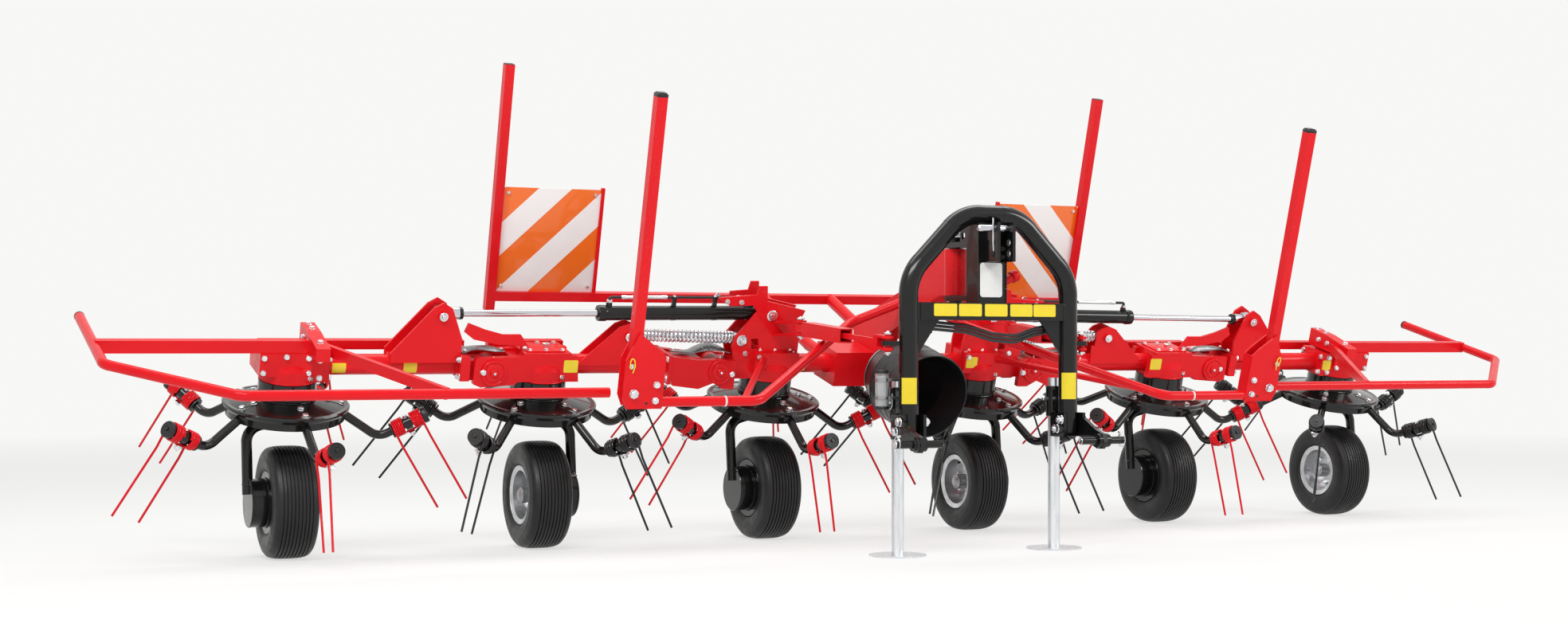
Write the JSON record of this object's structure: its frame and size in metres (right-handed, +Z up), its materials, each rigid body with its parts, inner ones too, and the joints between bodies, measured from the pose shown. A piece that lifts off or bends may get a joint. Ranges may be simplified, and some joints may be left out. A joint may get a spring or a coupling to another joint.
{
  "type": "six-rotor mounted hay tedder",
  "caption": "Tractor-mounted rotary hay tedder with interleaved tine rotors on folding wings, a swivelling headstock and parking stands, shown unfolded for work.",
  "frame": {"origin": "middle of the machine on the floor", "axes": "+X to the right seen from behind the front of the picture, +Y to the rear, +Z up"},
  "size_m": [6.1168, 1.871, 1.8851],
  "materials": {
    "red_paint": "glossy powder coat",
    "black_paint": "glossy powder coat",
    "rotor_black": "glossy powder coat",
    "tine_red": "painted spring steel",
    "tine_black": "painted spring steel",
    "rim_silver": "silver paint",
    "tyre": "satin rubber",
    "barrel_black": "satin paint",
    "chrome": "polished",
    "zinc": "zinc plated",
    "guard_plastic": "moulded",
    "sign": "reflective sheet"
  },
  "bodies": {
    "headstock": {"headstock_frame": "black_paint", "lower_hitch": "black_paint", "top_link_bracket": "black_paint"},
    "stand_left": {"stand_left": "zinc"},
    "stand_right": {"stand_right": "zinc"},
    "centre": {"centre_frame": "red_paint", "centre_brackets": "red_paint", "centre_gearboxes": "red_paint", "centre_legs": "black_paint", "drive_guard": "guard_plastic", "inner_guards": "red_paint", "sign_frame": "red_paint", "sign_boards": "sign"},
    "drive_shaft": {"drive_shaft": "zinc"},
    "link_bar_left": {"link_bar_left": "red_paint"},
    "link_sleeve_left": {"link_sleeve_left": "red_paint"},
    "front_post_left": {"front_post_left": "red_paint"},
    "inner_wing_left": {"inner_wing_left": "red_paint", "inner_leg_left": "black_paint"},
    "outer_wing_left": {"outer_wing_left": "red_paint", "outer_leg_left": "black_paint", "outer_guard_left": "red_paint"},
    "barrel_left": {"barrel_left": "barrel_black"},
    "ram_left": {"ram_left": "chrome"},
    "spring_left": {"spring_left": "zinc"},
    "link_bar_right": {"link_bar_right": "red_paint"},
    "link_sleeve_right": {"link_sleeve_right": "red_paint"},
    "front_post_right": {"front_post_right": "red_paint"},
    "inner_wing_right": {"inner_wing_right": "red_paint", "inner_leg_right": "black_paint"},
    "outer_wing_right": {"outer_wing_right": "red_paint", "outer_leg_right": "black_paint", "outer_guard_right": "red_paint"},
    "barrel_right": {"barrel_right": "barrel_black"},
    "ram_right": {"ram_right": "chrome"},
    "spring_right": {"spring_right": "zinc"},
    "rotor_1": {"rotor_1": "rotor_black", "tines_1": "tine_red"},
    "wheel_1": {"rim_1": "rim_silver", "tyre_1": "tyre"},
    "rotor_2": {"rotor_2": "rotor_black", "tines_2": "tine_black"},
    "wheel_2": {"rim_2": "rim_silver", "tyre_2": "tyre"},
    "rotor_3": {"rotor_3": "rotor_black", "tines_3": "tine_red"},
    "wheel_3": {"rim_3": "rim_silver", "tyre_3": "tyre"},
    "rotor_4": {"rotor_4": "rotor_black", "tines_4": "tine_black"},
    "wheel_4": {"rim_4": "rim_silver", "tyre_4": "tyre"},
    "rotor_5": {"rotor_5": "rotor_black", "tines_5": "tine_red"},
    "wheel_5": {"rim_5": "rim_silver", "tyre_5": "tyre"},
    "rotor_6": {"rotor_6": "rotor_black", "tines_6": "tine_black"},
    "wheel_6": {"rim_6": "rim_silver", "tyre_6": "tyre"}
  },
  "joints": [
    {"name": "swivel", "type": "hinge", "parent": "headstock", "child": "centre", "pos_m": [0, -0.5025, 1.04], "axis": [0, 0, 1], "range_deg": [-8, 8]},
    {"name": "link_bar_left_turn", "type": "hinge", "parent": "headstock", "child": "link_bar_left", "pos_m": [-0.412, -0.7275, 0.772], "axis": [0, 0, 1], "range_deg": [-6.1, 6.1]},
    {"name": "link_sleeve_left_turn", "type": "hinge", "parent": "centre", "child": "link_sleeve_left", "pos_m": [-0.47, -0.1325, 0.832], "axis": [0, 0, 1], "range_deg": [-2.9, 2.9]},
    {"name": "stand_left_lift", "type": "slide", "parent": "headstock", "child": "stand_left", "axis": [0, 0, 1], "range_m": [0, 0.3]},
    {"name": "link_bar_right_turn", "type": "hinge", "parent": "headstock", "child": "link_bar_right", "pos_m": [0.412, -0.7275, 0.772], "axis": [0, 0, 1], "range_deg": [-6.1, 6.1]},
    {"name": "link_sleeve_right_turn", "type": "hinge", "parent": "centre", "child": "link_sleeve_right", "pos_m": [0.47, -0.1325, 0.832], "axis": [0, 0, 1], "range_deg": [-2.9, 2.9]},
    {"name": "stand_right_lift", "type": "slide", "parent": "headstock", "child": "stand_right", "axis": [0, 0, 1], "range_m": [0, 0.3]},
    {"name": "fold_left", "type": "hinge", "parent": "centre", "child": "inner_wing_left", "pos_m": [-0.7125, 0.15818, 0.68438], "axis": [0, 0.9636, 0.2672], "range_deg": [0, 90]},
    {"name": "outer_fold_left", "type": "hinge", "parent": "inner_wing_left", "child": "outer_wing_left", "pos_m": [-1.6255, 0.15818, 0.68438], "axis": [0, 0.9636, 0.2672], "range_deg": [-5, 10]},
    {"name": "barrel_left_turn", "type": "hinge", "parent": "centre", "child": "barrel_left", "pos_m": [-0.503, 0.10019, 0.89349], "axis": [0, 0.9636, 0.2672], "range_deg": [-1, 91.2]},
    {"name": "ram_left_stroke", "type": "slide", "parent": "barrel_left", "child": "ram_left", "axis": [-1, 0.0024, -0.0088], "range_m": [-0.4315, 0.001]},
    {"name": "spring_left_turn", "type": "hinge", "parent": "centre", "child": "spring_left", "pos_m": [-0.621, 0.12691, 0.79713], "axis": [0, 0.9636, 0.2672], "range_deg": [-1, 97.6], "deforming": ["spring_left"]},
    {"name": "front_post_left_fold", "type": "hinge", "parent": "centre", "child": "front_post_left", "pos_m": [-1.358, -0.61567, 0.60468], "axis": [0, -0.9636, -0.2672], "range_deg": [0, 90]},
    {"name": "fold_right", "type": "hinge", "parent": "centre", "child": "inner_wing_right", "pos_m": [0.7125, 0.15818, 0.68438], "axis": [0, -0.9636, -0.2672], "range_deg": [0, 90]},
    {"name": "outer_fold_right", "type": "hinge", "parent": "inner_wing_right", "child": "outer_wing_right", "pos_m": [1.6255, 0.15818, 0.68438], "axis": [0, -0.9636, -0.2672], "range_deg": [-5, 10]},
    {"name": "barrel_right_turn", "type": "hinge", "parent": "centre", "child": "barrel_right", "pos_m": [0.503, 0.10019, 0.89349], "axis": [0, -0.9636, -0.2672], "range_deg": [-1, 91.2]},
    {"name": "ram_right_stroke", "type": "slide", "parent": "barrel_right", "child": "ram_right", "axis": [1, 0.0024, -0.0088], "range_m": [-0.4315, 0.001]},
    {"name": "spring_right_turn", "type": "hinge", "parent": "centre", "child": "spring_right", "pos_m": [0.621, 0.12691, 0.79713], "axis": [0, -0.9636, -0.2672], "range_deg": [-1, 97.6], "deforming": ["spring_right"]},
    {"name": "front_post_right_fold", "type": "hinge", "parent": "centre", "child": "front_post_right", "pos_m": [1.358, -0.61567, 0.60468], "axis": [0, 0.9636, 0.2672], "range_deg": [0, 90]},
    {"name": "rotor_3_spin", "type": "hinge", "parent": "centre", "child": "rotor_3", "pos_m": [-0.4725, 0.20212, 0.55959], "axis": [0, -0.2672, 0.9636], "continuous": true},
    {"name": "rotor_1_spin", "type": "hinge", "parent": "outer_wing_left", "child": "rotor_1", "pos_m": [-2.3625, 0.20212, 0.55959], "axis": [0, -0.2672, 0.9636], "continuous": true},
    {"name": "rotor_2_spin", "type": "hinge", "parent": "inner_wing_left", "child": "rotor_2", "pos_m": [-1.4175, 0.20212, 0.55959], "axis": [0, -0.2672, 0.9636], "continuous": true},
    {"name": "rotor_4_spin", "type": "hinge", "parent": "centre", "child": "rotor_4", "pos_m": [0.4725, 0.20212, 0.55959], "axis": [0, -0.2672, 0.9636], "continuous": true},
    {"name": "rotor_5_spin", "type": "hinge", "parent": "inner_wing_right", "child": "rotor_5", "pos_m": [1.4175, 0.20212, 0.55959], "axis": [0, -0.2672, 0.9636], "continuous": true},
    {"name": "rotor_6_spin", "type": "hinge", "parent": "outer_wing_right", "child": "rotor_6", "pos_m": [2.3625, 0.20212, 0.55959], "axis": [0, -0.2672, 0.9636], "continuous": true},
    {"name": "drive_spin", "type": "hinge", "parent": "centre", "child": "drive_shaft", "pos_m": [0, 0.16418, 0.69642], "axis": [0, -0.9636, -0.2672], "continuous": true},
    {"name": "wheel_1_roll", "type": "hinge", "parent": "outer_wing_left", "child": "wheel_1", "pos_m": [-2.3625, 0.1975, 0.2025], "axis": [1, 0, 0], "continuous": true},
    {"name": "wheel_2_roll", "type": "hinge", "parent": "inner_wing_left", "child": "wheel_2", "pos_m": [-1.4175, 0.1975, 0.2025], "axis": [1, 0, 0], "continuous": true},
    {"name": "wheel_3_roll", "type": "hinge", "parent": "centre", "child": "wheel_3", "pos_m": [-0.4725, 0.1975, 0.2025], "axis": [1, 0, 0], "continuous": true},
    {"name": "wheel_4_roll", "type": "hinge", "parent": "centre", "child": "wheel_4", "pos_m": [0.4725, 0.1975, 0.2025], "axis": [1, 0, 0], "continuous": true},
    {"name": "wheel_5_roll", "type": "hinge", "parent": "inner_wing_right", "child": "wheel_5", "pos_m": [1.4175, 0.1975, 0.2025], "axis": [1, 0, 0], "continuous": true},
    {"name": "wheel_6_roll", "type": "hinge", "parent": "outer_wing_right", "child": "wheel_6", "pos_m": [2.3625, 0.1975, 0.2025], "axis": [1, 0, 0], "continuous": true}
  ],
  "couplings": [
    {"joint": "link_bar_left_turn", "follows": "swivel", "ratio": 0.69452},
    {"joint": "link_sleeve_left_turn", "follows": "swivel", "ratio": -0.30548},
    {"joint": "link_bar_right_turn", "follows": "swivel", "ratio": 0.69452},
    {"joint": "link_sleeve_right_turn", "follows": "swivel", "ratio": -0.30548},
    {"joint": "barrel_left_turn", "follows": "fold_left", "ratio": 1.0026},
    {"joint": "ram_left_stroke", "follows": "fold_left", "m_per_rad": -0.27155},
    {"joint": "spring_left_turn", "follows": "fold_left", "ratio": 1.0733},
    {"joint": "barrel_right_turn", "follows": "fold_right", "ratio": 1.0026},
    {"joint": "ram_right_stroke", "follows": "fold_right", "m_per_rad": -0.27155},
    {"joint": "spring_right_turn", "follows": "fold_right", "ratio": 1.0733},
    {"joint": "rotor_1_spin", "follows": "rotor_3_spin", "ratio": 1},
    {"joint": "rotor_2_spin", "follows": "rotor_3_spin", "ratio": -1},
    {"joint": "rotor_4_spin", "follows": "rotor_3_spin", "ratio": -1},
    {"joint": "rotor_5_spin", "follows": "rotor_3_spin", "ratio": 1},
    {"joint": "rotor_6_spin", "follows": "rotor_3_spin", "ratio": -1},
    {"joint": "drive_spin", "follows": "rotor_3_spin", "ratio": 3}
  ]
}
